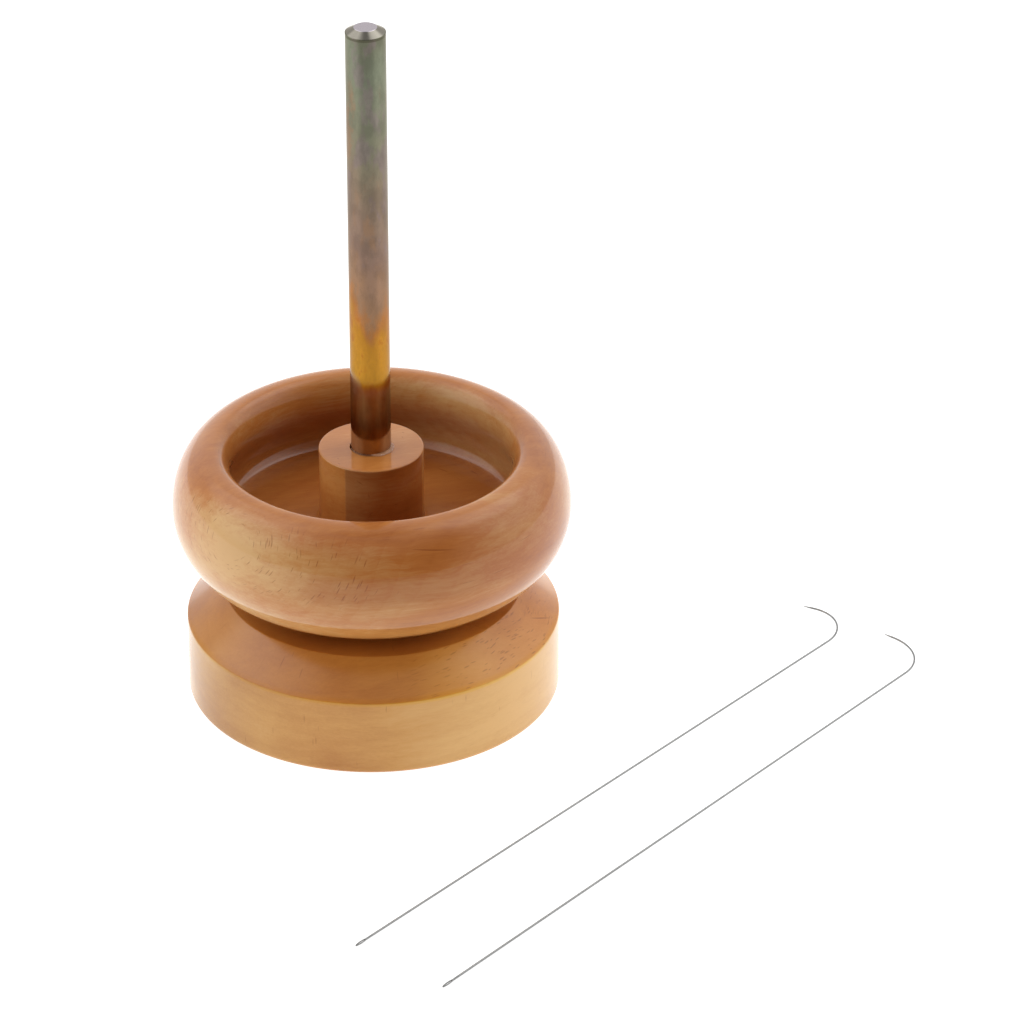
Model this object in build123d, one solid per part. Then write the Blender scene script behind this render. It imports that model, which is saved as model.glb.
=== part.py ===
from build123d import *
import os
from math import cos, hypot, radians, sin

os.makedirs("parts", exist_ok=True)

# Bead spinner: a bowl with a hub, glued to a steel rod, turns on a ball bearing in a wooden base.
# Millimetres, +Z up. The origin is the centre of the base's underside, on the table.

# ---- base ----
base_radius = 37.6
base_top_radius = 30.0          # edge of the flat top, inside the wide chamfer
base_shoulder_z = 16.2          # where the side ends and the chamfer begins
base_height = 22.6
base_foot_round = 1.0
well_radius = 8.0               # clear of the turning inner ring
well_floor_z = 4.0

# ---- 608 ball bearing, flush with the base's flat top ----
bearing_radius = 11.0
bearing_width = 7.0
bearing_bore_radius = 4.0
ring_edge_chamfer = 0.3
ball_count = 7
ball_radius = 3.969 / 2
ball_pitch_radius = 7.5
ball_play = 0.02                # gap between ball and groove
groove_radius = 2.06
inner_land_radius = 6.05
outer_land_radius = 9.0
shield_seat_radius = 9.6
shield_seat_depth = 0.7
shield_thickness = 0.3
shield_bore_radius = 6.3
shield_lip = 0.3
cage_inner_radius = 6.7
cage_outer_radius = 8.3
cage_thickness = 0.35
cage_pocket_play = 0.06

# ---- rod ----
rod_radius = 4.0                # 8 mm bar
journal_radius = 3.97           # turned down below the neck to slide in the bearing
neck_radius = 3.75              # relief groove where the rod enters the hub
neck_below = 0.7                # under the hub's top face
neck_above = 0.2                # over the hub's top face
rod_top_z = 145.0
rod_length = 139.0
rod_top_chamfer_in = 1.8
rod_top_chamfer_down = 1.0
rod_foot_chamfer = 0.8

# ---- bowl ----
bowl_gap = 3.2                  # between the base's flat top and the bowl
bowl_radius = 40.0
bowl_belly_z = 41.0             # height of the widest circle
bowl_crest_radius = 31.6
bowl_crest_z = 53.8
bowl_foot_radius = 24.1
mouth_radius = 28.3
mouth_z = 49.1
trough_radius = 30.7            # the wall leans out below the mouth
trough_floor_z = 37.4
cove_radius = 3.3
hub_radius = 10.5
hub_top_z = 53.5
hub_foot_round = 0.8
hub_edge_chamfer = 0.25
bowl_bore_radius = 4.2

# ---- spacer and glue ----
seat_gap = 0.02                 # lets the sleeve lift off the inner ring
spacer_radius = 6.0
spacer_edge_chamfer = 0.3
glue_start = 1.0                # above the bowl's underside
glue_bead_radius = 4.5
glue_bead_top_radius = 4.1
glue_bead_shift = (0.5, -0.3)
glue_bead_height = 0.35

# ---- needles, lying on the table ----
wire_radius = 0.2
needle_straight = 146.5
eye_length = 3.2
eye_width = 0.62
eye_thickness = 0.3
eye_slot_length = 2.0
eye_slot_width = 0.26
point_length = 2.5
point_radius = 0.05
# tail position, heading in degrees, then radius and turn in degrees of the hook's two bends
needles = {
    "needle_1": ((-1.45, -98.5), 49.8, (9.25, 53.0), (7.6, 52.0)),
    "needle_2": ((15.1, -112.2), 50.5, (9.55, 50.0), (10.4, 40.0)),
}

bearing_low_z = base_height - bearing_width
bearing_mid_z = base_height - bearing_width / 2
bowl_foot_z = base_height + bowl_gap
neck_low_z = hub_top_z - neck_below
neck_high_z = hub_top_z + neck_above


def tube(outer_radius, inner_radius, z_a, z_b):
    ring = Circle(outer_radius) - Circle(inner_radius)
    return Pos(0, 0, min(z_a, z_b)) * extrude(ring, abs(z_b - z_a))


def bar(radius, low_z, high_z):
    return Pos(0, 0, low_z) * extrude(Circle(radius), high_z - low_z)


def base_block():
    round_centre = (base_radius - base_foot_round, base_foot_round)
    with BuildSketch(Plane.XZ) as section:
        with BuildLine():
            CenterArc(round_centre, base_foot_round, -90, 90)
            Polyline(
                (base_radius, base_foot_round),
                (base_radius, base_shoulder_z),
                (base_top_radius, base_height),
                (bearing_radius, base_height),
                (bearing_radius, bearing_low_z),
                (well_radius, bearing_low_z),
                (well_radius, well_floor_z),
                (0, well_floor_z),
                (0, 0),
                (base_radius - base_foot_round, 0),
            )
        make_face()
    return revolve(section.sketch, Axis.Z)


def raceway(side):
    """Torus that cuts a ring's groove. side is +1 in the outer ring, -1 in the inner ring."""
    centre_radius = ball_pitch_radius - side * (groove_radius - ball_radius - ball_play)
    return Pos(0, 0, bearing_mid_z) * Torus(centre_radius, groove_radius)


def bearing_outer_ring():
    ring = tube(bearing_radius, outer_land_radius, bearing_low_z, base_height)
    rims = ring.edges().filter_by(GeomType.CIRCLE).sort_by(SortBy.RADIUS)[-2:]
    ring = chamfer(rims, ring_edge_chamfer)
    top_seat = bar(shield_seat_radius, base_height - shield_seat_depth, base_height)
    low_seat = bar(shield_seat_radius, bearing_low_z, bearing_low_z + shield_seat_depth)
    return ring - top_seat - low_seat - raceway(1)


def bearing_inner_ring():
    ring = tube(inner_land_radius, bearing_bore_radius, bearing_low_z, base_height)
    rims = ring.edges().filter_by(GeomType.CIRCLE).sort_by(SortBy.RADIUS)[:2]
    ring = chamfer(rims, ring_edge_chamfer)
    return ring - raceway(-1)


def ball_place(index):
    return Rot(0, 0, 360 / ball_count * index) * Pos(ball_pitch_radius, 0, bearing_mid_z)


def bearing_ball(index):
    return ball_place(index) * Sphere(ball_radius)


def bearing_cage_half(side):
    """Pressed ribbon: a flat band with a cup over each ball. side is +1 above, -1 below."""
    cup_inside = ball_radius + cage_pocket_play
    cup_outside = cup_inside + cage_thickness
    band_z = bearing_mid_z + side * cage_thickness
    reach_z = bearing_mid_z + side * cup_outside
    keep = tube(cage_outer_radius, cage_inner_radius, bearing_mid_z, reach_z)
    half = tube(cage_outer_radius, cage_inner_radius, bearing_mid_z, band_z)
    for index in range(ball_count):
        half += keep & (ball_place(index) * Sphere(cup_outside))
    for index in range(ball_count):
        half -= ball_place(index) * Sphere(cup_inside)
    return half


def bearing_shield(face_z, inward):
    """Thin disc on its seat, with a crimped lip. inward is -1 at the top face, +1 at the low face."""
    seat_z = face_z + inward * shield_seat_depth
    plate_z = seat_z - inward * shield_thickness
    lip_z = plate_z - inward * shield_lip
    plate = tube(shield_seat_radius, shield_bore_radius, seat_z, plate_z)
    return plate + tube(shield_seat_radius, shield_seat_radius - shield_lip, plate_z, lip_z)


def spindle_rod():
    """Bar with a chamfered top, a neck at the hub and a slightly thinner journal below it."""
    foot_z = rod_top_z - rod_length
    with BuildSketch(Plane.XZ) as section:
        with BuildLine():
            Polyline(
                (0, foot_z),
                (journal_radius - rod_foot_chamfer, foot_z),
                (journal_radius, foot_z + rod_foot_chamfer),
                (journal_radius, neck_low_z),
                (neck_radius, neck_low_z),
                (neck_radius, neck_high_z),
                (rod_radius, neck_high_z),
                (rod_radius, rod_top_z - rod_top_chamfer_down),
                (rod_radius - rod_top_chamfer_in, rod_top_z),
                (0, rod_top_z),
                (0, foot_z),
            )
        make_face()
    return revolve(section.sketch, Axis.Z)


def spacer_sleeve():
    sleeve = tube(spacer_radius, bearing_bore_radius, base_height + seat_gap, bowl_foot_z)
    rims = sleeve.edges().filter_by(GeomType.CIRCLE).sort_by(SortBy.RADIUS)[-2:]
    return chamfer(rims, spacer_edge_chamfer)


def bowl():
    """Round belly and rim made of elliptical quarters, round an undercut trough with a hub."""
    cove_z = trough_floor_z + cove_radius
    hub_round_radius = hub_radius + hub_foot_round
    hub_round_z = trough_floor_z + hub_foot_round
    belly = (bowl_radius - bowl_foot_radius, bowl_belly_z - bowl_foot_z)
    shoulder = (bowl_radius - bowl_crest_radius, bowl_crest_z - bowl_belly_z)
    lip = (bowl_crest_radius - mouth_radius, bowl_crest_z - mouth_z)
    with BuildSketch(Plane.XZ) as section:
        with BuildLine():
            Line((bowl_bore_radius, bowl_foot_z), (bowl_foot_radius, bowl_foot_z))
            EllipticalCenterArc((bowl_foot_radius, bowl_belly_z), *belly, start_angle=-90, arc_size=90)
            EllipticalCenterArc((bowl_crest_radius, bowl_belly_z), *shoulder, start_angle=0, arc_size=90)
            EllipticalCenterArc((bowl_crest_radius, mouth_z), *lip, start_angle=90, arc_size=90)
            Spline((mouth_radius, mouth_z), (trough_radius, cove_z), tangents=((0, -1), (0, -1)))
            CenterArc((trough_radius - cove_radius, cove_z), cove_radius, 0, -90)
            Line((trough_radius - cove_radius, trough_floor_z), (hub_round_radius, trough_floor_z))
            CenterArc((hub_round_radius, hub_round_z), hub_foot_round, -90, -90)
            Polyline(
                (hub_radius, hub_round_z),
                (hub_radius, hub_top_z - hub_edge_chamfer),
                (hub_radius - hub_edge_chamfer, hub_top_z),
                (bowl_bore_radius, hub_top_z),
                (bowl_bore_radius, bowl_foot_z),
            )
        make_face()
    return revolve(section.sketch, Axis.Z)


def glue_bead():
    """Film round the journal, with a squeezed-out crescent on one side of the neck."""
    film = tube(bowl_bore_radius, journal_radius, bowl_foot_z + glue_start, neck_low_z)
    wet_side = Pos(*glue_bead_shift, neck_low_z) * extrude(Circle(glue_bead_radius), neck_below)
    filled = tube(bowl_bore_radius, neck_radius, neck_low_z, hub_top_z) & wet_side
    crescent = Pos(*glue_bead_shift, hub_top_z) * Cone(
        glue_bead_radius, glue_bead_top_radius, glue_bead_height,
        align=(Align.CENTER, Align.CENTER, Align.MIN),
    )
    crescent -= bar(neck_radius, hub_top_z, neck_high_z)
    crescent -= bar(rod_radius, neck_high_z, hub_top_z + glue_bead_height)
    return film + filled + crescent


def needle(tail, heading, first_bend, second_bend):
    """Straight wire with an eye at the tail and a hook of two tangent bends, ending in a point."""
    lie = Plane(
        origin=(*tail, wire_radius),
        x_dir=(cos(radians(heading)), sin(radians(heading)), 0),
        z_dir=(0, 0, 1),
    )
    wire_start = eye_length - eye_width
    with BuildLine() as route:
        straight = Line((wire_start, 0), (needle_straight, 0))
        bend = JernArc(straight @ 1, straight % 1, *first_bend)
        JernArc(bend @ 1, bend % 1, *second_bend)
    wire_end = route.line
    wire = sweep(Plane(wire_end @ 0, z_dir=wire_end % 0) * Circle(wire_radius), path=wire_end)
    point = Plane(wire_end @ 1, z_dir=wire_end % 1) * Cone(
        wire_radius, point_radius, point_length, align=(Align.CENTER, Align.CENTER, Align.MIN)
    )
    paddle = Pos(eye_length / 2, 0, -eye_thickness / 2) * extrude(
        SlotOverall(eye_length, eye_width) - SlotOverall(eye_slot_length, eye_slot_width), eye_thickness
    )
    return lie * (wire + point + paddle)


pieces = {
    "base_block": base_block(),
    "bearing_outer_ring": bearing_outer_ring(),
    "bearing_inner_ring": bearing_inner_ring(),
    "bearing_cage_upper": bearing_cage_half(1),
    "bearing_cage_lower": bearing_cage_half(-1),
    "bearing_shield_top": bearing_shield(base_height, -1),
    "bearing_shield_bottom": bearing_shield(bearing_low_z, 1),
    "spacer_sleeve": spacer_sleeve(),
    "spindle_rod": spindle_rod(),
    "bowl": bowl(),
    "glue_bead": glue_bead(),
}
for index in range(ball_count):
    pieces[f"bearing_ball_{index + 1}"] = bearing_ball(index)
for name, shape in needles.items():
    pieces[name] = needle(*shape)

for name, piece in pieces.items():
    piece.label = name
    export_step(piece, f"parts/{name}.step")
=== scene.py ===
from math import cos, pi, radians, sin

import bmesh
import bpy
from mathutils import Matrix, Vector, noise


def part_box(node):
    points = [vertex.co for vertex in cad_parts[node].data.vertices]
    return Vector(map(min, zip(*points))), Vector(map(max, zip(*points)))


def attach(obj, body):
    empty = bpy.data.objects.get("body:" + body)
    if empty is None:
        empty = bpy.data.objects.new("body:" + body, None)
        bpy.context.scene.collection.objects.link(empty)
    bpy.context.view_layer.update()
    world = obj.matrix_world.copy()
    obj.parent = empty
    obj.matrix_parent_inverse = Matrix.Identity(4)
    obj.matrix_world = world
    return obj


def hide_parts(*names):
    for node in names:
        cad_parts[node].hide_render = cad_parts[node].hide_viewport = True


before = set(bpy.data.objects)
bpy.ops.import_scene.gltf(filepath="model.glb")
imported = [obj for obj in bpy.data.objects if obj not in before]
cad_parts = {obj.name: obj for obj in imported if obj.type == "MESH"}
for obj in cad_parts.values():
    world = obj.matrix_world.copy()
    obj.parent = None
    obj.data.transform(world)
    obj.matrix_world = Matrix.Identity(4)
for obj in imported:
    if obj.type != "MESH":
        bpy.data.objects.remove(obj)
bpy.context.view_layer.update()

# Bead spinner: a turned bowl glued to a chromated rod, which stands in a ball bearing in a turned base.
# Everything is in metres, in the frame of the CAD model: +Z up, the table at z = 0.
MM = 0.001

base_low, base_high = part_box("base_block")
bowl_low, bowl_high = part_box("bowl")
rod_low, rod_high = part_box("spindle_rod")
outer_low, outer_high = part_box("bearing_outer_ring")
spacer_low, spacer_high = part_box("spacer_sleeve")
wire_low, wire_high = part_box("needle_1")

# ---- sizes that the boxes don't hold ----
BASE_TOP_RADIUS = 30.0 * MM
BASE_SHOULDER_Z = 16.2 * MM
BASE_FOOT_ROUND = 1.0 * MM
BASE_EDGE_ROUND = 0.5 * MM
WELL_RADIUS = 8.0 * MM
WELL_FLOOR_Z = 4.0 * MM
WELL_EDGE_ROUND = 0.1 * MM
WELL_FLOOR_ROUND = 0.4 * MM
BASE_UNEVENNESS = 0.03 * MM

BOWL_BELLY_Z = 41.0 * MM
BOWL_FOOT_RADIUS = 24.1 * MM
CREST_RADIUS = 31.6 * MM
MOUTH_RADIUS = 28.3 * MM
MOUTH_Z = 49.1 * MM
TROUGH_RADIUS = 30.7 * MM
TROUGH_FLOOR_Z = 37.4 * MM
COVE_RADIUS = 3.3 * MM
HUB_RADIUS = 10.5 * MM
HUB_TOP_Z = 53.5 * MM
HUB_FOOT_ROUND = 0.8 * MM
HUB_EDGE_ROUND = 0.35 * MM
BORE_RADIUS = 4.2 * MM
BORE_EDGE_ROUND = 0.15 * MM
BOWL_UNEVENNESS = 0.04 * MM
UNEVENNESS_SPACING = 14 * MM

JOURNAL_RADIUS = 3.97 * MM
NECK_RADIUS = 3.75 * MM
NECK_LOW_Z = 52.8 * MM
NECK_HIGH_Z = 53.7 * MM
ROD_TOP_CHAMFER_IN = 1.8 * MM
ROD_TOP_CHAMFER_DOWN = 1.0 * MM
ROD_FOOT_CHAMFER = 0.8 * MM
ROD_EDGE_ROUND = 0.1 * MM
ROD_END_ROUND = 0.08 * MM
NECK_EDGE_ROUND = 0.03 * MM

SLEEVE_BORE_ROUND = 0.15 * MM
SLEEVE_EDGE_ROUND = 0.3 * MM

# glue squeezed out on one side of the rod's neck
GLUE_FOOT_Z = 26.8 * MM
GLUE_SIDE = -33.0               # azimuth in degrees
GLUE_REACH = 4.85 * MM
GLUE_HEIGHT = 0.34 * MM
# the bead swells where the angle from its side has a cosine above this, and is a thin film elsewhere
GLUE_SIDE_COSINE = 0.25
GLUE_SIDE_POWER = 1.3
GLUE_FILM_SHARE = 0.02
# waves round its edge: height as a share, how many, and shift
GLUE_RIPPLES = [(0.12, 5, 1.1), (0.08, 9, 0.0)]

# needles: tail, heading in degrees, then radius and turn in degrees of the hook's two bends
NEEDLES = {
    "needle_1": ((-1.45, -98.5), 49.8, (9.25, 53.0), (7.6, 52.0)),
    "needle_2": ((15.1, -112.2), 50.5, (9.55, 50.0), (10.4, 40.0)),
}
NEEDLE_STRAIGHT = 146.5 * MM    # from the tail to the first bend
EYE_LENGTH = 3.2 * MM
EYE_WIDTH = 0.62 * MM
EYE_THICKNESS = 0.3 * MM
EYE_SLOT_WIDTH = 0.26 * MM
EYE_BULGE = 0.25
EYE_JOIN = 0.7                  # of the eye's width, that the wire reaches into the eye
POINT_LENGTH = 2.5 * MM
POINT_RADIUS = 0.05 * MM
POINT_FULLNESS = 1.6            # 1 is a straight cone

# ---- looks ----
CAMERA_PLACE = (0.02805, -0.98448, 0.59673)
CAMERA_DOWN = 29.56             # degrees below level
CAMERA_LENS = 198.5             # mm
CAMERA_SENSOR = 36.0            # mm

# The white surroundings, like a light tent. Each glow is its azimuth and elevation in degrees, the
# angles from its centre where it starts and stops fading, and how much it adds.
TENT = 0.74
TENT_GLOWS = [
    ((-85, 25), 30, 75, -0.66),     # the dim opening in front
    ((18, 38), 14, 36, 0.74),       # right
    ((-170, 36), 12, 38, 0.92),     # left
    ((-110, 65), 15, 50, 0.40),     # overhead, a little in front
    ((150, 50), 12, 27, 1.0),       # behind on the left, high
    ((34, 56), 10, 24, 1.1),        # behind on the right, high
    ((90, 25), 20, 50, 0.3),        # behind
    ((-14, 10), 12, 36, 0.22),      # right front, low
    ((90, 89), 4, 15, -0.55),       # a gap in the ceiling
]
FLOOR_HALF_WIDTH = 6.0
FLOOR_WHITE = 0.5
FLOOR_GLOW = 0.95
# the direction in which the table darkens, and the cosines of the angle from it where that starts and is full
FLOOR_FRONT = (0.10, -0.995, 0.0)
FLOOR_FRONT_SPREAD = (0.5, 0.97)
# distances over which it darkens, and by how much
FLOOR_FADES = [(0.045, 0.11, 0.24), (0.11, 0.27, 0.16), (0.27, 0.50, 0.52)]


def direction(azimuth, elevation):
    """A unit vector, from angles in degrees."""
    azimuth, elevation = radians(azimuth), radians(elevation)
    return (cos(azimuth) * cos(elevation), sin(azimuth) * cos(elevation), sin(elevation))


# ---------------------------------------------------------------- mesh tools

def piece(name, mesh, body, slot, material, *replaced):
    """A visible piece that rides on a CAD body, in place of CAD nodes."""
    made = bpy.data.objects.new(name, mesh)
    bpy.context.scene.collection.objects.link(made)
    mesh.shade_smooth()
    mesh.materials.append(material)
    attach(made, body)
    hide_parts(*replaced)
    return made


def curve(centre, radii, start, turn, steps):
    """Points along part of an ellipse in the (radius, height) plane. Angles in degrees."""
    angles = [radians(start + turn * i / steps) for i in range(steps + 1)]
    return [(centre[0] + radii[0] * cos(a), centre[1] + radii[1] * sin(a)) for a in angles]


def line(start, end, steps):
    """Points between two ends, without the ends."""
    shares = [i / steps for i in range(1, steps)]
    return [(start[0] + (end[0] - start[0]) * s, start[1] + (end[1] - start[1]) * s) for s in shares]


def softened(corners, round_radii, steps=6):
    """A line of corners in the (radius, height) plane, each rounded.

    A point just before and after each round keeps the shading of the flats beside it flat."""
    points = []
    last = len(corners) - 1
    for i, (corner, size) in enumerate(zip(corners, round_radii)):
        here = Vector(corner)
        if i in (0, last) or size == 0:
            points.append(tuple(here))
            continue
        back = (Vector(corners[i - 1]) - here).normalized()
        ahead = (Vector(corners[i + 1]) - here).normalized()
        half = back.angle(ahead) / 2
        reach = size / abs(sin(half) / cos(half))
        centre = here + (back + ahead).normalized() * size / sin(half)
        first = here + back * reach - centre
        final = here + ahead * reach - centre
        turn = first.angle_signed(final)
        points.append(tuple(here + back * (reach + size / 3)))
        for step in range(steps + 1):
            points.append(tuple(centre + Matrix.Rotation(-turn * step / steps, 2) @ first))
        points.append(tuple(here + ahead * (reach + size / 3)))
    return points


def lathe(name, outline, segments, shift=None, closed=True):
    """Turns an outline of (radius, height) points round Z. A point on the axis becomes one vertex.

    shift(angle, radius, height) gives how far a vertex is moved out from the axis. A closed outline
    ends where it started."""
    shape = bmesh.new()
    rings = []
    for radius, height in outline:
        if radius < 1e-7:
            rings.append([shape.verts.new((0, 0, height))])
            continue
        ring = []
        for step in range(segments):
            angle = 2 * pi * step / segments
            out = radius + (shift(angle, radius, height) if shift else 0)
            ring.append(shape.verts.new((out * cos(angle), out * sin(angle), height)))
        rings.append(ring)
    nexts = rings[1:] + rings[:1] if closed else rings[1:]
    for low, high in zip(rings, nexts):
        for step in range(segments):
            ahead = (step + 1) % segments
            corners = [
                low[step % len(low)], low[ahead % len(low)], high[ahead % len(high)], high[step % len(high)],
            ]
            kept = [v for i, v in enumerate(corners) if v not in corners[:i]]
            if len(kept) > 2:
                shape.faces.new(kept)
    bmesh.ops.recalc_face_normals(shape, faces=shape.faces)
    mesh = bpy.data.meshes.new(name)
    shape.to_mesh(mesh)
    shape.free()
    return mesh


def hand_turned(size, seed):
    """Slight unevenness left by turning and sanding by hand."""
    def shift(angle, radius, height):
        place = Vector((cos(angle) * radius, sin(angle) * radius, height)) / UNEVENNESS_SPACING
        return size * noise.noise(place + Vector((seed, 0, 0)))
    return shift


# ---------------------------------------------------------------- material tools

class Surface:
    """Short forms for building one material's shader nodes."""

    def __init__(self, name):
        self.material = bpy.data.materials.new(name)
        self.material.use_nodes = True
        self.tree = self.material.node_tree
        self.shader = self.tree.nodes["Principled BSDF"]

    def add(self, kind, inputs, **settings):
        node = self.tree.nodes.new(kind)
        for name, value in settings.items():
            setattr(node, name, value)
        for name, value in inputs.items():
            self.feed(node.inputs[name], value)
        return node

    def feed(self, socket, value):
        if isinstance(value, bpy.types.NodeSocket):
            self.tree.links.new(value, socket)
        else:
            socket.default_value = value

    def finish(self, **inputs):
        for name, value in inputs.items():
            self.feed(self.shader.inputs[name.replace("_", " ")], value)
        return self.material

    def place(self):
        return self.add("ShaderNodeTexCoord", {}).outputs["Object"]

    def calc(self, operation, first, second=0.0, third=0.0):
        node = self.add("ShaderNodeMath", {0: first, 1: second, 2: third}, operation=operation)
        return node.outputs[0]

    def vector(self, operation, first, second=(0, 0, 0)):
        node = self.add("ShaderNodeVectorMath", {0: first, 1: second}, operation=operation)
        return node.outputs["Value" if operation in ("LENGTH", "DOT_PRODUCT") else "Vector"]

    def split(self, vector):
        outputs = self.add("ShaderNodeSeparateXYZ", {0: vector}).outputs
        return outputs[0], outputs[1], outputs[2]

    def join(self, x, y, z):
        return self.add("ShaderNodeCombineXYZ", {0: x, 1: y, 2: z}).outputs[0]

    def level(self, value, low, high, out_low=0.0, out_high=1.0):
        """Rises smoothly from out_low to out_high as the value goes from low to high."""
        inputs = {"Value": value, "From Min": low, "From Max": high, "To Min": out_low, "To Max": out_high}
        return self.add("ShaderNodeMapRange", inputs, interpolation_type="SMOOTHSTEP").outputs["Result"]

    def near(self, value, middle, full, gone):
        """1 up to the distance full from the middle, fading to 0 at the distance gone."""
        away = self.calc("ABSOLUTE", self.calc("SUBTRACT", value, middle))
        return self.level(away, gone, full)

    def product(self, *masks):
        """Where every one of the masks holds."""
        total = masks[0]
        for mask in masks[1:]:
            total = self.calc("MULTIPLY", total, mask)
        return total

    def noise(self, vector, stretch=None, detail=2.0, roughness=0.5):
        """A texture from 0 to 1. stretch is how fast it changes along X, Y and Z, per unit of the vector."""
        if stretch:
            vector = self.vector("MULTIPLY", vector, stretch)
        inputs = {"Vector": vector, "Scale": 1.0, "Detail": detail, "Roughness": roughness}
        return self.add("ShaderNodeTexNoise", inputs).outputs["Fac"]

    def vary(self, value, texture, size):
        """Moves a value up and down by up to half the size, with a texture."""
        return self.calc("MULTIPLY_ADD", self.calc("SUBTRACT", texture, 0.5), size, value)

    def mix(self, factor, first, second, blend="MIX"):
        node = self.add("ShaderNodeMix", {}, data_type="RGBA", blend_type=blend)
        self.feed(node.inputs["Factor"], factor)
        self.feed(node.inputs[6], first)
        self.feed(node.inputs[7], second)
        return node.outputs[2]

    def tint(self, colour, tint, *masks):
        """Multiplies a colour by a tint where every mask holds."""
        tinted = self.mix(1.0, colour, (*tint, 1), "MULTIPLY")
        return self.mix(self.product(*masks), colour, tinted)

    def cover(self, colour, other, strength, *masks):
        """Lays another colour over a colour where every mask holds."""
        return self.mix(self.calc("MULTIPLY", self.product(*masks), strength), colour, (*other, 1))

    def shade(self, colour, texture, spread, darkest, lightest):
        """Darkens and lightens a colour with a texture, whose values lie mostly within spread."""
        share = self.level(texture, *spread, darkest, lightest)
        return self.mix(1.0, colour, self.join(share, share, share), "MULTIPLY")

    def ramp(self, factor, stops):
        node = self.add("ShaderNodeValToRGB", {"Fac": factor})
        while len(node.color_ramp.elements) < len(stops):
            node.color_ramp.elements.new(0.5)
        for element, (position, colour) in zip(node.color_ramp.elements, stops):
            element.position = position
            element.color = (*colour, 1)
        return node.outputs["Color"]

    def bump(self, height, distance, strength=1.0):
        inputs = {"Height": height, "Distance": distance, "Strength": strength}
        return self.add("ShaderNodeBump", inputs).outputs["Normal"]


# ---------------------------------------------------------------- wood

# Beech. A stretch is how fast a texture changes along, across and above the fibre, per metre.
WANDER_SCALE = 70.0
WANDER_SIZE = 3.0 * MM
DRIFT_STRETCH = (22.0, 40.0, 70.0)
FIBRE_STRETCH = (60.0, 500.0, 1400.0)
FINE_STRETCH = (400.0, 2400.0, 3000.0)
RING_SPACING = 3.1 * MM
DRIFT_CONTRAST = 1.3
FINE_CONTRAST = 0.22
LATE_WOOD_CONTRAST = -0.035
TONE_SHIFT = 0.08
TONE_STOPS = (0.1, 0.5, 0.95)
PALE_SIDE_LIFT = 0.38
OVAL_FLATNESS = 1.25
TURNING_RADIUS = 35 * MM
FLECK_DEPTH = 40 * MM
FLECK_WIDTH = 0.42
LINE_WIDTH = 0.30
LINE_STRENGTH = 0.7
LINE_SEED = 7.3
MARK_WIDTH = 0.13 * MM
MARK_DEPTH = 5 * MM
PORE_TINT = (0.56, 0.40, 0.28)
PORE_STRENGTH = 0.75
GRAIN_DEPTH = 0.02 * MM
WOOD_ROUGHNESS = (0.42, 0.55)
# where a mask starts and where it is full: four by the surface's unit normal, one by the distance from
# the eye's axis, and one by the share of a growth ring
SLOPING = (0.2, 0.6)
NOT_UNDER = (-0.25, 0.05)
FACING_EYE = (0.35, 0.75)
FACING_ALONG_EYE = (0.40, 1.0)
OFF_AXIS = (3.0 * MM, 6.0 * MM)
LATE_WOOD = (0.30, 0.95)


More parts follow.
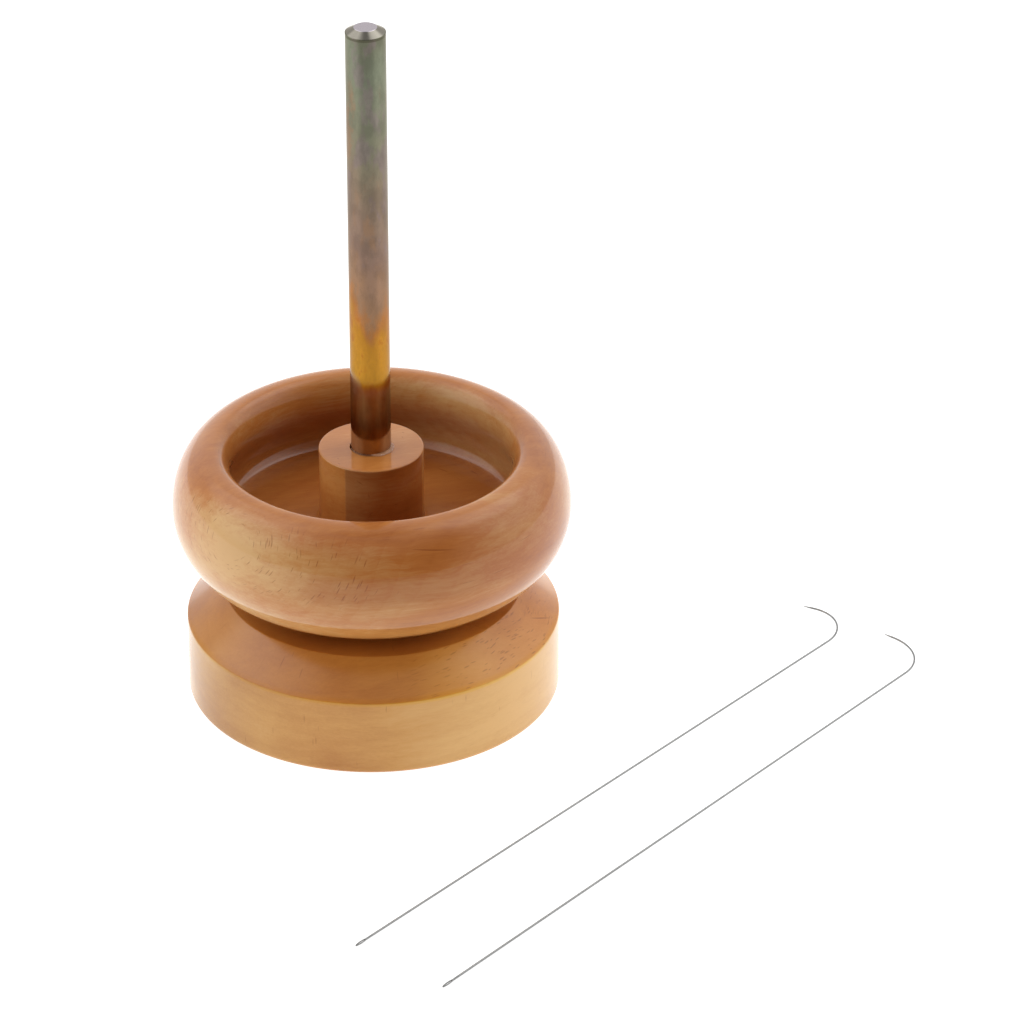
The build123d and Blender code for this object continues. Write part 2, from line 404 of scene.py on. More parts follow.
def beech(name, fibre, eye, heart, tones, dash, side_share, streak, silk, seed, coat, painted_light, marks=()):
    """Lacquered beech. fibre and eye are directions in degrees, seen from above.

    The fine streaks run along the fibre. Where the surface faces the eye's direction, short dark
    flecks lie in ovals round an axis through heart. tones are the darkest, middle and lightest colour.
    dash is the spacing of those flecks outward from the axis and round it, and how many of them show.
    side_share is how strongly they show on upright surfaces, compared with sloping ones.
    streak is the spacing round the Z axis and upward of the fine lines elsewhere, and how many show.
    silk is the contrast of the silky fibre. seed shifts the flecks and lines.
    coat is the lacquer's roughness. painted_light(wood, colour, place, normal) gives the wood's final colour,
    with painted light and shade laid over it.
    marks are single thin dark lines, from one point to another, in millimetres."""
    wood = Surface(name)
    place = wood.place()
    x, y, z = wood.split(place)
    wander = wood.add("ShaderNodeTexNoise", {"Vector": place, "Scale": WANDER_SCALE, "Detail": 3.0})
    wander = wood.vector("SUBTRACT", wander.outputs["Color"], (0.5, 0.5, 0.5))
    wander = wood.vector("MULTIPLY", wander, (WANDER_SIZE, WANDER_SIZE, WANDER_SIZE))
    wavy = wood.vector("ADD", place, wander)

    def turned_back(vector, angle):
        inputs = {"Vector": vector, "Angle": radians(-angle)}
        return wood.add("ShaderNodeVectorRotate", inputs, rotation_type="Z_AXIS").outputs[0]

    # the same place along the fibre, along and round the eye's axis, and round the Z axis
    grain = turned_back(wavy, fibre)
    depth, across, up = wood.split(turned_back(wood.vector("SUBTRACT", wavy, heart), eye))
    outward = wood.vector("LENGTH", wood.join(0.0, across, wood.calc("MULTIPLY", up, OVAL_FLATNESS)))
    turn = wood.calc("MULTIPLY", wood.calc("ARCTAN2", across, up), outward)
    radius = wood.vector("LENGTH", wood.join(x, y, 0.0))
    round_axis = wood.calc("MULTIPLY", wood.calc("ARCTAN2", y, x), TURNING_RADIUS)

    # which way the surface faces
    normal = wood.add("ShaderNodeTexCoord", {}).outputs["Normal"]
    upward = wood.split(normal)[2]
    facing = wood.vector("DOT_PRODUCT", normal, direction(eye, 0))
    slope_share = wood.level(upward, *SLOPING, side_share, 1.0)
    fleck_side = wood.calc("MULTIPLY", wood.level(facing, *FACING_EYE), slope_share)
    other_side = wood.calc("SUBTRACT", 1.0, fleck_side)
    pale_side = wood.level(wood.calc("ABSOLUTE", facing), *FACING_ALONG_EYE)

    # broad drifts of tone, growth rings and silky fibre
    drift = wood.noise(grain, DRIFT_STRETCH, 3.0)
    ring = wood.calc("FRACT", wood.calc("DIVIDE", outward, RING_SPACING))
    late_wood = wood.calc("MULTIPLY", wood.level(ring, *LATE_WOOD), wood.level(ring, 1.0, LATE_WOOD[1]))
    fibres = wood.noise(grain, FIBRE_STRETCH, 4.0, 0.62)
    fine = wood.noise(grain, FINE_STRETCH, 2.0, 0.6)
    tone = wood.vary(0.5, drift, DRIFT_CONTRAST)
    tone = wood.vary(tone, fibres, silk)
    tone = wood.vary(tone, fine, FINE_CONTRAST)
    tone = wood.calc("MULTIPLY_ADD", late_wood, LATE_WOOD_CONTRAST, tone)
    tone = wood.calc("MULTIPLY_ADD", pale_side, PALE_SIDE_LIFT, wood.calc("SUBTRACT", tone, TONE_SHIFT))
    colour = wood.ramp(tone, list(zip(TONE_STOPS, tones)))

    def flecks(cell, share, width, shift):
        """Thin ellipsoids, one in each chosen cell."""
        cell = wood.vector("ADD", cell, (seed + shift, seed, shift))
        found = wood.add("ShaderNodeTexVoronoi", {"Vector": cell, "Scale": 1.0})
        first_pick, second_pick, _ = wood.split(found.outputs["Color"])
        chosen = wood.level(first_pick, 1.0 - share, 1.0 - share * 0.5)
        size = wood.calc("MULTIPLY_ADD", second_pick, width * 0.7, width * 0.5)
        inside = wood.calc("DIVIDE", found.outputs["Distance"], size)
        return wood.calc("MULTIPLY", wood.level(inside, 1.0, 0.35), chosen)

    def cells(first, second, third):
        """Space divided into cells. Each argument is a coordinate and a cell's size along it."""
        return wood.join(*[wood.calc("DIVIDE", *pair) for pair in (first, second, third)])

    # flecks in ovals, but not close to their axis or underneath, and fine lines elsewhere
    outward_pitch, turn_pitch, oval_share = dash
    round_pitch, rise_pitch, line_share = streak
    ovals = cells((depth, FLECK_DEPTH), (outward, outward_pitch), (turn, turn_pitch))
    lines = cells((round_axis, round_pitch), (z, rise_pitch), (radius, rise_pitch * 2.0))
    off_axis = wood.level(outward, *OFF_AXIS)
    not_under = wood.level(upward, *NOT_UNDER)
    in_ovals = wood.product(
        flecks(ovals, oval_share, FLECK_WIDTH, 0.0),
        wood.calc("MULTIPLY", fleck_side, wood.calc("MULTIPLY", off_axis, not_under)),
    )
    in_lines = wood.product(
        flecks(lines, line_share, LINE_WIDTH, LINE_SEED), wood.calc("MULTIPLY", other_side, LINE_STRENGTH)
    )
    pores = wood.calc("MAXIMUM", in_ovals, in_lines)
    for start, end in marks:
        start, end = Vector(start) * MM, Vector(end) * MM
        middle, along = (start + end) / 2, (end - start).normalized()
        width = along.cross(Vector((middle.x, middle.y, 0))).normalized()
        away = wood.vector("SUBTRACT", place, middle)
        to_end = wood.calc("DIVIDE", wood.vector("DOT_PRODUCT", away, along), (end - start).length / 2)
        to_edge = wood.calc("DIVIDE", wood.vector("DOT_PRODUCT", away, width), MARK_WIDTH)
        to_depth = wood.calc("DIVIDE", wood.vector("DOT_PRODUCT", away, along.cross(width)), MARK_DEPTH)
        inside = wood.vector("LENGTH", wood.join(to_end, to_edge, to_depth))
        pores = wood.calc("MAXIMUM", pores, wood.level(inside, 1.0, 0.5))
    colour = wood.tint(colour, PORE_TINT, wood.calc("MULTIPLY", pores, PORE_STRENGTH))
    colour = painted_light(wood, colour, place, normal)

    rough = wood.level(fibres, 0.2, 0.8, *WOOD_ROUGHNESS)
    height = wood.calc("MULTIPLY_ADD", fibres, 0.35, wood.calc("MULTIPLY", pores, -0.5))
    return wood.finish(
        Base_Color=colour, Roughness=rough, Normal=wood.bump(height, GRAIN_DEPTH, 0.35), IOR=1.5,
        Specular_IOR_Level=0.1, Coat_Weight=1.0, Coat_Roughness=coat, Coat_IOR=1.41,
    )


# tints of painted light and shade on the wood
INSIDE_SHADE_TINT = (0.82, 0.76, 0.72)
BELLY_DARK_REFLECTION_TINT = (0.88, 0.77, 0.68)
LOW_TABLE_REFLECTION_TINT = (1.10, 1.38, 1.75)
HUB_LIT_STRIP_TINT = (1.0, 0.78, 0.52)
HUB_FRONT_SHADE_TINT = (0.70, 0.56, 0.48)
BASE_LEFT_SHADE_TINT = (0.80, 0.84, 0.90)
SLOPE_SHADE_TINT = (1.0, 0.80, 0.54)
SLOPE_LIGHT_POOL_TINT = (1.14, 1.24, 1.30)
SHOULDER_HIGHLIGHT_TINT = (1.02, 0.98, 0.50)


def bowl_painted_light(wood, colour, place, normal):
    """Painted light and shade: painted shade inside, a darker, redder painted reflection across the belly in
    front, painted shade down the hub's front beside a painted lit strip, and a paler painted reflection low
    down.

    A pair of numbers is where a zone starts and where it is full."""
    x, y, z = wood.split(place)
    flat = wood.join(x, y, 0.0)
    radius = wood.vector("LENGTH", flat)

    # painted shade inside, but not on the wall on the right, which is left as if lit
    behind_lip, below_lip, above_foot = (33 * MM, 31 * MM), (49 * MM, 43 * MM), (30 * MM, 34 * MM)
    to_right, above_floor = (4 * MM, 20 * MM), (39 * MM, 42 * MM)
    lit_right_wall = wood.product(wood.level(x, *to_right), wood.level(z, *above_floor))
    colour = wood.tint(
        colour, INSIDE_SHADE_TINT, wood.level(radius, *behind_lip), wood.level(z, *below_lip),
        wood.level(z, *above_foot), wood.calc("SUBTRACT", 1.0, lit_right_wall),
    )

    # a painted dark reflection: a darker, redder band across the belly in front
    outside, in_front = (33 * MM, 35 * MM), (0.62, 0.80)
    band_azimuth, band_z, band_full, band_gone = -65, 46.5 * MM, 5 * MM, 8 * MM
    forward = wood.vector("DOT_PRODUCT", wood.vector("NORMALIZE", flat), direction(band_azimuth, 0))
    colour = wood.tint(
        colour, BELLY_DARK_REFLECTION_TINT, wood.level(radius, *outside), wood.level(forward, *in_front),
        wood.near(z, band_z, band_full, band_gone),
    )

    # a painted reflection of the white table: paler and whiter low down, outside
    beyond_foot, towards_foot = (28 * MM, 30 * MM), (37 * MM, 31 * MM)
    colour = wood.tint(colour, LOW_TABLE_REFLECTION_TINT, wood.level(radius, *beyond_foot), wood.level(z, *towards_foot))

    # the hub's upright side: painted shade across its front, and a painted lit strip, more orange, to the
    # left of it
    hub_side = (HUB_RADIUS + 0.5 * MM, HUB_RADIUS + 0.2 * MM)
    shade_left, shade_right = (-5.2 * MM, -4.7 * MM), (10.3 * MM, 10.0 * MM)
    upright = wood.level(wood.split(normal)[2], 0.6, 0.3)
    hub = wood.product(wood.level(radius, *hub_side), upright)
    colour = wood.tint(colour, HUB_LIT_STRIP_TINT, hub, wood.level(x, *reversed(shade_left)))
    return wood.tint(
        colour, HUB_FRONT_SHADE_TINT, hub, wood.level(x, *shade_left), wood.level(x, *shade_right)
    )


def base_painted_light(wood, colour, place, normal):
    """Painted light and shade: painted shade on the left and on the slope under the bowl, a paler painted
    pool of light on the slope's right front, and a golden painted highlight along the shoulder.

    A pair of numbers is where a zone starts and where it is full."""
    x, y, z = wood.split(place)
    # painted shade on the left side
    to_left, sloping = (-4 * MM, -36 * MM), (0.2, 0.7)
    colour = wood.tint(colour, BASE_LEFT_SHADE_TINT, wood.level(x, *to_left))
    # painted shade on the slope, which lies under the overhanging bowl
    slope = wood.level(wood.split(normal)[2], *sloping)
    colour = wood.tint(colour, SLOPE_SHADE_TINT, slope)
    # a painted pool of light on the slope's right front, paler and whiter
    patch_left, patch_right, patch_front = (6 * MM, 16 * MM), (28 * MM, 21 * MM), (-8 * MM, -20 * MM)
    colour = wood.tint(
        colour, SLOPE_LIGHT_POOL_TINT, wood.level(x, *patch_left), wood.level(x, *patch_right),
        wood.level(y, *patch_front), slope,
    )
    # a golden painted highlight along the rounded shoulder
    return wood.tint(colour, SHOULDER_HIGHLIGHT_TINT, wood.near(z, BASE_SHOULDER_Z, 0.3 * MM, 0.9 * MM))


# ---------------------------------------------------------------- metals and glue

# the chromate's colours, by the share of the way from the hub's top to the rod's top; the two lowest, bronze,
# are a painted reflection of the bowl's inside
CHROMATE = [
    (0.00, (0.31, 0.21, 0.155)),
    (0.15, (0.29, 0.20, 0.15)),
    (0.195, (0.38, 0.18, 0.013)),
    (0.31, (0.38, 0.165, 0.015)),
    (0.345, (0.33, 0.130, 0.030)),
    (0.385, (0.24, 0.135, 0.075)),
    (0.50, (0.19, 0.120, 0.088)),
    (0.66, (0.175, 0.132, 0.090)),
    (0.78, (0.152, 0.150, 0.100)),
    (0.94, (0.145, 0.158, 0.108)),
    (1.00, (0.125, 0.128, 0.085)),
]
COPPER = (0.22, 0.125, 0.070)
MAUVE = (0.17, 0.125, 0.130)
BURNT_ORANGE = (0.24, 0.075, 0.008)
REFLECTED_BOWL_BRONZE = (0.30, 0.205, 0.155)
REFLECTED_HUB_BRONZE = (0.385, 0.235, 0.120)
REFLECTED_BOWL_TOP = (69.2 * MM, 66.8 * MM)
REFLECTED_HUB_TOP = (60 * MM, 58 * MM)
CUT_STEEL = (0.22, 0.205, 0.172)
ROD_END_STEEL = (0.45, 0.41, 0.455)
DARK_LINE = (0.05, 0.044, 0.022)
ZONE_WAVE = 15 * MM
REFLECTION_EDGE_WAVE = 2 * MM
ZONE_SLANT = 0.8
TONGUE_DEPTH = 3.2 * MM


def chromated_steel():
    """Yellow chromate: olive green at the rod's top, mauve down the middle, then gold; lower down, a painted
    reflection of the bowl's inside in bronze, paler at the hub.
    """
    steel = Surface("yellow_chromate")
    place = steel.place()
    x, _, height = steel.split(place)
    cloud = steel.noise(place, (190.0, 190.0, 80.0), 5.0, 0.6)
    patch = steel.noise(place, (150.0, 150.0, 62.0), 5.0, 0.62)
    blotch = steel.noise(place, (420.0, 420.0, 210.0), 4.0, 0.65)

    # the zones wave and slant, and dip in a tongue in front and behind
    tongue = steel.calc("MULTIPLY", steel.near(x, 0.0, 0.2 * MM, 3.6 * MM), TONGUE_DEPTH)
    slant = steel.calc("MULTIPLY_ADD", x, ZONE_SLANT, tongue)
    wavy = steel.calc("ADD", steel.vary(height, cloud, ZONE_WAVE), slant)
    share = steel.calc("DIVIDE", steel.calc("SUBTRACT", wavy, HUB_TOP_Z), rod_high.z - HUB_TOP_Z)
    colour = steel.ramp(share, CHROMATE)

    # patches of other colours. A pair of numbers is where they start and where they are full
    above_gold, below_top, to_gold = (0.34, 0.44), (0.92, 0.80), (0.44, 0.30)
    above = steel.level(share, *above_gold)
    copper = steel.level(patch, 0.52, 0.62)
    colour = steel.cover(colour, COPPER, 0.62, copper, above, steel.level(share, *below_top))
    colour = steel.cover(colour, MAUVE, 0.5, steel.level(patch, 0.48, 0.40), above)
    burnt = steel.level(blotch, 0.50, 0.62)
    colour = steel.cover(colour, BURNT_ORANGE, 0.6, burnt, steel.level(share, *to_gold))

    # painted reflections: the bowl's inside in bronze, and the hub's top, paler, round the hub
    reflection_height = steel.vary(height, cloud, REFLECTION_EDGE_WAVE)
    colour = steel.cover(colour, REFLECTED_BOWL_BRONZE, 0.8, steel.level(reflection_height, *REFLECTED_BOWL_TOP))
    colour = steel.cover(colour, REFLECTED_HUB_BRONZE, 1.0, steel.level(height, *REFLECTED_HUB_TOP))
    colour = steel.shade(colour, blotch, (0.35, 0.65), 0.88, 1.10)

    # bare steel on the cut end, above a dark line
    top, chamfer_z = rod_high.z, rod_high.z - ROD_TOP_CHAMFER_DOWN
    colour = steel.cover(colour, CUT_STEEL, 1.0, steel.level(height, chamfer_z, chamfer_z + 0.1 * MM))
    on_end = steel.level(height, top - 0.07 * MM, top - 0.03 * MM)
    colour = steel.cover(colour, ROD_END_STEEL, 1.0, on_end)
    line_under = steel.near(height, chamfer_z - 0.3 * MM, 0.16 * MM, 0.34 * MM)
    colour = steel.cover(colour, DARK_LINE, 0.6, line_under)

    drawn = steel.noise(place, (2600.0, 2600.0, 25.0), 2.0)
    rough = steel.level(patch, 0.3, 0.7, 0.09, 0.15)
    return steel.finish(
        Base_Color=colour, Metallic=1.0, Roughness=rough, Normal=steel.bump(drawn, 0.008 * MM, 0.3),
        Specular_Tint=(0.74, 0.71, 0.66, 1), Coat_Weight=0.2, Coat_Roughness=0.06, Coat_IOR=1.5,
    )


def worked_steel(name, colour, roughness, marks_per_metre):
    """Bare steel with the fine marks of its working."""
    steel = Surface(name)
    marks = steel.noise(steel.place(), (marks_per_metre, marks_per_metre, marks_per_metre), 3.0, 0.6)
    colour = steel.shade((*colour, 1), marks, (0.25, 0.75), 0.88, 1.08)
    rough = steel.level(marks, 0.2, 0.8, roughness * 0.8, roughness * 1.25)
    return steel.finish(
        Base_Color=colour, Metallic=1.0, Roughness=rough, Normal=steel.bump(marks, 0.006 * MM, 0.3)
    )


def turned_steel(name, colour, roughness, pitch):
    """Steel with concentric marks round the spindle's axis."""
    steel = Surface(name)
    x, y, z = steel.split(steel.place())
    radius = steel.vector("LENGTH", steel.join(x, y, 0.0))
    spot = steel.join(steel.calc("DIVIDE", radius, pitch), steel.calc("DIVIDE", z, pitch), 0.0)
    rings = steel.noise(spot, detail=3.0)
    colour = steel.shade((*colour, 1), rings, (0.25, 0.75), 0.85, 1.1)
    rough = steel.level(rings, 0.2, 0.8, roughness * 0.8, roughness * 1.3)
    return steel.finish(
        Base_Color=colour, Metallic=1.0, Roughness=rough, Normal=steel.bump(rings, 0.01 * MM, 0.3)
    )


def set_glue():
    """Clear adhesive that has set over the wood with a few small bubbles."""
    amber, pale_amber, bubble_white = (0.36, 0.15, 0.060), (0.52, 0.26, 0.15), (0.80, 0.70, 0.66)
    glue = Surface("set_glue")
    cells = glue.vector("MULTIPLY", glue.place(), (1800.0, 1800.0, 1800.0))
    found = glue.add("ShaderNodeTexVoronoi", {"Vector": cells, "Scale": 1.0})
    bubbles = glue.level(found.outputs["Distance"], 0.3, 0.1)
    colour = glue.ramp(glue.noise(cells, (0.4, 0.4, 0.4)), [(0.3, amber), (0.7, pale_amber)])
    colour = glue.cover(colour, bubble_white, 0.4, bubbles)
    return glue.finish(
        Base_Color=colour, Roughness=0.30, IOR=1.40, Transmission_Weight=0.12,
        Normal=glue.bump(bubbles, 0.02 * MM, 0.5),
    )


# ---------------------------------------------------------------- pieces

def make_base(material):
    low, high = base_low.z, base_high.z
    radius = base_high.x
    corners = [
        (0, low), (radius, low), (radius, BASE_SHOULDER_Z), (BASE_TOP_RADIUS, high),
        (outer_high.x, high), (outer_high.x, outer_low.z), (WELL_RADIUS, outer_low.z),
        (WELL_RADIUS, WELL_FLOOR_Z), (0, WELL_FLOOR_Z),
    ]
    rounds = [
        0, BASE_FOOT_ROUND, BASE_EDGE_ROUND, BASE_EDGE_ROUND,
        WELL_EDGE_ROUND, WELL_EDGE_ROUND, WELL_EDGE_ROUND, WELL_FLOOR_ROUND, 0,
    ]
    outline = softened(corners, rounds)
    outline = outline[:1] + line((0, low), outline[1], steps=30) + outline[1:]
    mesh = lathe("base", outline, 360, hand_turned(BASE_UNEVENNESS, seed=3.0), closed=False)
    return piece("turned_base", mesh, "base", "base_wood", material, "base_block")


def bowl_outline():
    """Points from the underside's edge up the outside, over the lip, along the trough, over the hub, and
    down through the bore to the underside again."""
    radius, foot_z, crest_z = bowl_high.x, bowl_low.z, bowl_high.z
    cove_z = TROUGH_FLOOR_Z + COVE_RADIUS
    lower = (radius - BOWL_FOOT_RADIUS, BOWL_BELLY_Z - foot_z)
    upper = (radius - CREST_RADIUS, crest_z - BOWL_BELLY_Z)
    lip = (CREST_RADIUS - MOUTH_RADIUS, crest_z - MOUTH_Z)
    outline = curve((BOWL_FOOT_RADIUS, BOWL_BELLY_Z), lower, -90, 90, 40)
    outline += curve((CREST_RADIUS, BOWL_BELLY_Z), upper, 0, 90, 36)[1:]
    outline += curve((CREST_RADIUS, MOUTH_Z), lip, 90, 90, 24)[1:]
    wall_steps = 16
    for step in range(1, wall_steps):
        share = step / wall_steps
        bend = share * share * (3 - 2 * share)
        wall_radius = MOUTH_RADIUS + (TROUGH_RADIUS - MOUTH_RADIUS) * bend
        outline.append((wall_radius, MOUTH_Z + (cove_z - MOUTH_Z) * share))
    outline += curve((TROUGH_RADIUS - COVE_RADIUS, cove_z), (COVE_RADIUS, COVE_RADIUS), 0, -90, 12)
    hub_round = HUB_RADIUS + HUB_FOOT_ROUND
    outline += line(outline[-1], (hub_round, TROUGH_FLOOR_Z), 12)
    hub_centre = (hub_round, TROUGH_FLOOR_Z + HUB_FOOT_ROUND)
    outline += curve(hub_centre, (HUB_FOOT_ROUND, HUB_FOOT_ROUND), -90, -90, 6)
    hub_side_foot = outline[-1]
    outline += softened(
        [hub_side_foot, (HUB_RADIUS, HUB_TOP_Z), (BORE_RADIUS, HUB_TOP_Z), (BORE_RADIUS, foot_z),
         (BOWL_FOOT_RADIUS, foot_z)],
        [0, HUB_EDGE_ROUND, BORE_EDGE_ROUND, BORE_EDGE_ROUND, 0],
    )[1:-1]
    outline += line(outline[-1], (BOWL_FOOT_RADIUS, foot_z), 10)
    return outline


def make_bowl(material):
    mesh = lathe("bowl", bowl_outline(), 420, hand_turned(BOWL_UNEVENNESS, seed=11.0))
    return piece("turned_bowl", mesh, "rotor", "bowl_wood", material, "bowl")


def make_rod(material):
    low, high, radius = rod_low.z, rod_high.z, rod_high.x
    corners = [
        (0, low), (JOURNAL_RADIUS - ROD_FOOT_CHAMFER, low), (JOURNAL_RADIUS, low + ROD_FOOT_CHAMFER),
        (JOURNAL_RADIUS, NECK_LOW_Z), (NECK_RADIUS, NECK_LOW_Z), (NECK_RADIUS, NECK_HIGH_Z),
        (radius, NECK_HIGH_Z), (radius, high - ROD_TOP_CHAMFER_DOWN), (radius - ROD_TOP_CHAMFER_IN, high),
        (0, high),
    ]
    rounds = [
        0, ROD_EDGE_ROUND, ROD_EDGE_ROUND, NECK_EDGE_ROUND, NECK_EDGE_ROUND,
        NECK_EDGE_ROUND, NECK_EDGE_ROUND, ROD_EDGE_ROUND, ROD_END_ROUND, 0,
    ]
    mesh = lathe("rod", softened(corners, rounds), 192, closed=False)
    return piece("spindle", mesh, "rotor", "chromated_rod", material, "spindle_rod")


def make_glue(material):
    """A film down the bore and a bead that swells on one side of the neck."""
    bead_foot = HUB_TOP_Z - 0.2 * MM

    def shift(angle, radius, z):
        if z < bead_foot - 0.05 * MM:
            return 0.0
        side = (cos(angle - radians(GLUE_SIDE)) - GLUE_SIDE_COSINE) / (1 - GLUE_SIDE_COSINE)
        ripple = sum(height * sin(count * angle + start) for height, count, start in GLUE_RIPPLES)
        swell = max(GLUE_FILM_SHARE, max(side, 0.0) ** GLUE_SIDE_POWER * (1 + ripple))
        return (radius - NECK_RADIUS) * (swell - 1)

    top = HUB_TOP_Z + GLUE_HEIGHT
    width = GLUE_REACH - NECK_RADIUS
    dome = curve((NECK_RADIUS, HUB_TOP_Z), (width, top - HUB_TOP_Z), 0, 84, 12)
    outline = [
        (JOURNAL_RADIUS, GLUE_FOOT_Z), (BORE_RADIUS, GLUE_FOOT_Z), (BORE_RADIUS, NECK_LOW_Z),
        (BORE_RADIUS, bead_foot), *dome, (NECK_RADIUS, top), (NECK_RADIUS, NECK_LOW_Z),
        (JOURNAL_RADIUS, NECK_LOW_Z),
    ]
    mesh = lathe("glue", outline, 180, shift)
    return piece("glue", mesh, "rotor", "clear_glue", material, "glue_bead")


def make_sleeve(material):
    low, high, radius = spacer_low.z, spacer_high.z, spacer_high.x
    bore = rod_high.x           # the sleeve and the bearing fit the rod's bar
    corners = [(bore, low), (radius, low), (radius, high), (bore, high)]
    rounds = [SLEEVE_BORE_ROUND, SLEEVE_EDGE_ROUND, SLEEVE_EDGE_ROUND, SLEEVE_BORE_ROUND]
    outline = softened([corners[3], *corners, corners[0]], [0, *rounds, 0])[1:-1]
    mesh = lathe("sleeve", outline, 160)
    return piece("sleeve", mesh, "rotor", "spacer_steel", material, "spacer_sleeve")


# ---------------------------------------------------------------- needles

def needle_route(shape):
    """Points along the wire's centre line, from the eye's front end to the tip."""
    tail, heading, *bends = shape
    angle = radians(heading)
    along = Vector((cos(angle), sin(angle)))
    eye_front = EYE_LENGTH - EYE_WIDTH * EYE_JOIN
    start = Vector((tail[0] * MM, tail[1] * MM)) + along * eye_front
    straight = NEEDLE_STRAIGHT - eye_front
    route = [start + along * straight * i / 60 for i in range(61)]
    steps = 40
    for radius, turn in bends:
        centre = route[-1] + Vector((-sin(angle), cos(angle))) * radius * MM
        for step in range(1, steps + 1):
            now = angle + radians(turn) * step / steps
            route.append(centre + Vector((sin(now), -cos(now))) * radius * MM)
        angle += radians(turn)
    hook_end = route[-1]
    ahead = Vector((cos(angle), sin(angle)))
    return route + [hook_end + ahead * POINT_LENGTH * i / 12 for i in range(1, 13)]


def make_needle(name, shape, material):
    """Round wire with a ground point, and an eye of two flattened strands at the tail."""
    wire_radius = (wire_high.z - wire_low.z) / 2
    route = needle_route(shape)
    lengths = [0.0]
    for before, after in zip(route, route[1:]):
        lengths.append(lengths[-1] + (after - before).length)
    sides = 16
    wire = bmesh.new()
    rings = []
    for i, place in enumerate(route):
        ahead = (route[min(i + 1, len(route) - 1)] - route[max(i - 1, 0)]).normalized()
        left = Vector((-ahead.y, ahead.x))
        to_tip = lengths[-1] - lengths[i]
        share = min(1.0, to_tip / POINT_LENGTH)
        size = POINT_RADIUS + (wire_radius - POINT_RADIUS) * (1 - (1 - share) ** POINT_FULLNESS)
        ring = []
        for side in range(sides):
            turn = 2 * pi * side / sides
            out = left * cos(turn) * size
            ring.append(wire.verts.new((place.x + out.x, place.y + out.y, wire_radius + sin(turn) * size)))
        rings.append(ring)
    for low, high in zip(rings, rings[1:]):
        for side in range(sides):
            wire.faces.new([low[side], low[(side + 1) % sides], high[(side + 1) % sides], high[side]])
    wire.faces.new(rings[0])
    wire.faces.new(rings[-1])
    bmesh.ops.recalc_face_normals(wire, faces=wire.faces)
    mesh = bpy.data.meshes.new(name + "_wire")
    wire.to_mesh(mesh)
    wire.free()
    made = piece(name + "_wire", mesh, name + "_body", "needle_steel", material, name)
    join_eye(made, shape, wire_radius)
    return made


def join_eye(made, shape, wire_radius):
    """Unites the wire with a flattened ring that leaves the eye's slot open, widest in its middle."""
    tail, heading = shape[0], radians(shape[1])
    eye = bmesh.new()
    strand = (EYE_WIDTH - EYE_SLOT_WIDTH) / 2
    middle = (EYE_LENGTH - strand) / 2
    half_width = (EYE_WIDTH - strand) / 2
    around, sides = 64, 12
    along = Vector((cos(heading), sin(heading)))
    left = Vector((-along.y, along.x))
    centre = Vector((tail[0] * MM, tail[1] * MM)) + along * EYE_LENGTH / 2
    loops = []
    for step in range(around):
        turn = 2 * pi * step / around
        swell = 1 + EYE_BULGE * sin(turn) ** 2
        flat = Vector((middle * cos(turn), half_width * sin(turn) * swell / (1 + EYE_BULGE)))
        out = Vector((half_width * cos(turn), middle * sin(turn))).normalized()
        loop = []
        for side in range(sides):
            lean = 2 * pi * side / sides
            point = flat + out * cos(lean) * strand / 2
            spot = centre + along * point.x + left * point.y
            loop.append(eye.verts.new((spot.x, spot.y, wire_radius + sin(lean) * EYE_THICKNESS / 2)))
        loops.append(loop)
    for step in range(around):
        here, after = loops[step], loops[(step + 1) % around]
        for side in range(sides):
            ahead = (side + 1) % sides
            eye.faces.new([here[side], here[ahead], after[ahead], after[side]])
    bmesh.ops.recalc_face_normals(eye, faces=eye.faces)
    mesh = bpy.data.meshes.new(made.name + "_eye")
    eye.to_mesh(mesh)
    eye.free()
    tool = bpy.data.objects.new(made.name + "_eye", mesh)
    bpy.context.scene.collection.objects.link(tool)
    union = made.modifiers.new("eye", "BOOLEAN")
    union.operation = "UNION"
    union.solver = "EXACT"
    union.object = tool
    shown = made.evaluated_get(bpy.context.evaluated_depsgraph_get())
    whole = bpy.data.meshes.new_from_object(shown)
    made.modifiers.clear()
    made.data = whole
    whole.shade_smooth()
    bpy.data.objects.remove(tool)


# ---------------------------------------------------------------- the object

bowl_wood = beech(
    "bowl_beech", fibre=-165.0, eye=-133.0, heart=(0.0, 0.0, 47.6 * MM),
    tones=((0.34, 0.095, 0.014), (0.48, 0.175, 0.038), (0.63, 0.37, 0.15)),
    dash=(0.34 * MM, 2.3 * MM, 0.26), side_share=1.0, streak=(7 * MM, 0.36 * MM, 0.12),
    silk=0.44, seed=4.0, coat=0.06, painted_light=bowl_painted_light,
    marks=[((7.7, -36.3, 50.7), (17.6, -33.7, 49.2))],
)
base_wood = beech(
    "base_beech", fibre=20.0, eye=-38.0, heart=(0.0, 0.0, -70 * MM),
    tones=((0.44, 0.17, 0.030), (0.61, 0.30, 0.075), (0.74, 0.43, 0.15)),
    dash=(0.34 * MM, 2.8 * MM, 0.50), side_share=0.12, streak=(0.55 * MM, 4.2 * MM, 0.13),
    silk=0.26, seed=9.0, coat=0.14, painted_light=base_painted_light,
    marks=[((31.3, -10.7, 20.0), (36.1, -5.7, 17.1))],
)
make_base(base_wood)
make_bowl(bowl_wood)
make_rod(chromated_steel())
make_glue(set_glue())
make_sleeve(turned_steel("turned_steel", (0.60, 0.60, 0.60), roughness=0.28, pitch=0.15 * MM))

needle_steel = worked_steel("needle_steel", (0.24, 0.24, 0.235), roughness=0.26, marks_per_metre=900.0)
for needle_name, needle_shape in NEEDLES.items():
    make_needle(needle_name, needle_shape, needle_steel)

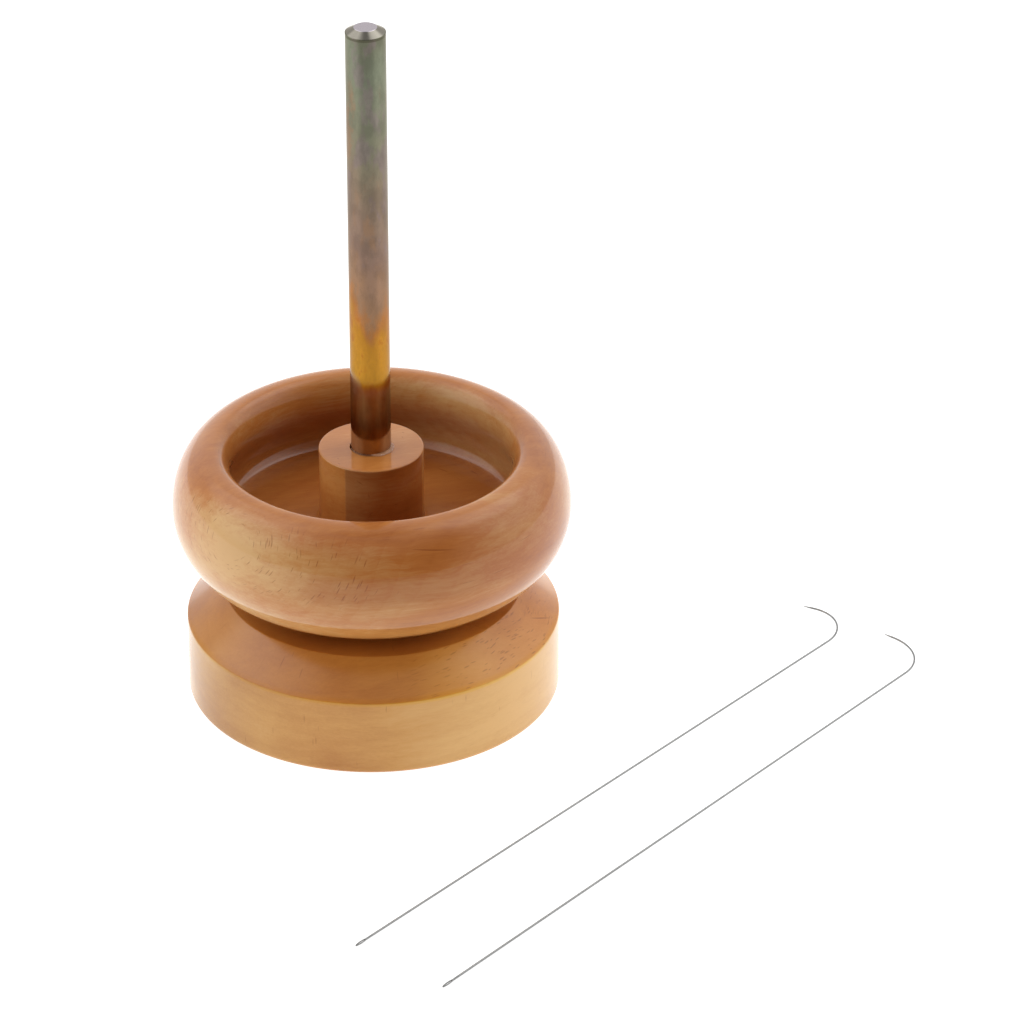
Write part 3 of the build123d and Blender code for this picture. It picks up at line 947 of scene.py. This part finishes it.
ground = turned_steel("ground_steel", (0.62, 0.62, 0.63), roughness=0.16, pitch=0.1 * MM)
pressed = worked_steel("pressed_steel", (0.55, 0.55, 0.56), roughness=0.30, marks_per_metre=700.0)
polished = worked_steel("polished_steel", (0.72, 0.72, 0.73), roughness=0.08, marks_per_metre=1500.0)
for node_name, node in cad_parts.items():
    if node_name.startswith("bearing"):
        kind = ground
        if "ball" in node_name:
            kind = polished
        elif "cage" in node_name or "shield" in node_name:
            kind = pressed
        node.data.materials.clear()
        node.data.materials.append(kind)


# ---------------------------------------------------------------- studio

def make_floor():
    """A white table that glows a little, less so far out in front."""
    size = FLOOR_HALF_WIDTH
    mesh = bpy.data.meshes.new("floor")
    corners = [(-size, -size, 0), (size, -size, 0), (size, size, 0), (-size, size, 0)]
    mesh.from_pydata(corners, [], [(0, 1, 2, 3)])
    floor = bpy.data.objects.new("floor", mesh)
    bpy.context.scene.collection.objects.link(floor)
    white = Surface("white_floor")
    spot = white.place()
    forward = white.vector("DOT_PRODUCT", white.vector("NORMALIZE", spot), FLOOR_FRONT)
    in_front = white.level(forward, *FLOOR_FRONT_SPREAD)
    distance = white.vector("LENGTH", spot)
    glow = FLOOR_GLOW
    for start, stop, loss in FLOOR_FADES:
        glow = white.calc("MULTIPLY_ADD", in_front, white.level(distance, start, stop, 0.0, -loss), glow)
    mesh.materials.append(white.finish(
        Base_Color=(FLOOR_WHITE, FLOOR_WHITE, FLOOR_WHITE, 1), Roughness=0.9, Specular_IOR_Level=0.0,
        Emission_Color=(1, 1, 1, 1), Emission_Strength=glow,
    ))


def make_sky():
    """White surroundings with broad soft glows, and dimmer in front and straight above."""
    world = bpy.data.worlds.new("studio")
    bpy.context.scene.world = world
    world.use_nodes = True
    nodes, links = world.node_tree.nodes, world.node_tree.links
    seen = nodes.new("ShaderNodeTexCoord").outputs["Generated"]
    total = None
    for centre, start, stop, strength in TENT_GLOWS:
        dot = nodes.new("ShaderNodeVectorMath")
        dot.operation = "DOT_PRODUCT"
        dot.inputs[1].default_value = direction(*centre)
        links.new(seen, dot.inputs[0])
        glow = nodes.new("ShaderNodeMapRange")
        glow.interpolation_type = "SMOOTHSTEP"
        glow.inputs["From Min"].default_value = cos(radians(stop))
        glow.inputs["From Max"].default_value = cos(radians(start))
        glow.inputs["To Max"].default_value = strength
        links.new(dot.outputs["Value"], glow.inputs["Value"])
        add = nodes.new("ShaderNodeMath")
        add.operation = "ADD"
        add.inputs[1].default_value = TENT
        links.new(glow.outputs["Result"], add.inputs[0])
        if total:
            links.new(total, add.inputs[1])
        total = add.outputs["Value"]
    background = nodes["Background"]
    background.inputs["Color"].default_value = (1, 1, 1, 1)
    links.new(total, background.inputs["Strength"])


make_floor()
make_sky()

camera = bpy.data.objects.new("camera", bpy.data.cameras.new("camera"))
camera.location = CAMERA_PLACE
camera.rotation_euler = (radians(90 - CAMERA_DOWN), 0, 0)
camera.data.sensor_width = CAMERA_SENSOR
camera.data.lens = CAMERA_LENS
bpy.context.scene.collection.objects.link(camera)
bpy.context.scene.camera = camera
bpy.context.scene.view_settings.view_transform = "Standard"
bpy.context.scene.view_settings.look = "None"
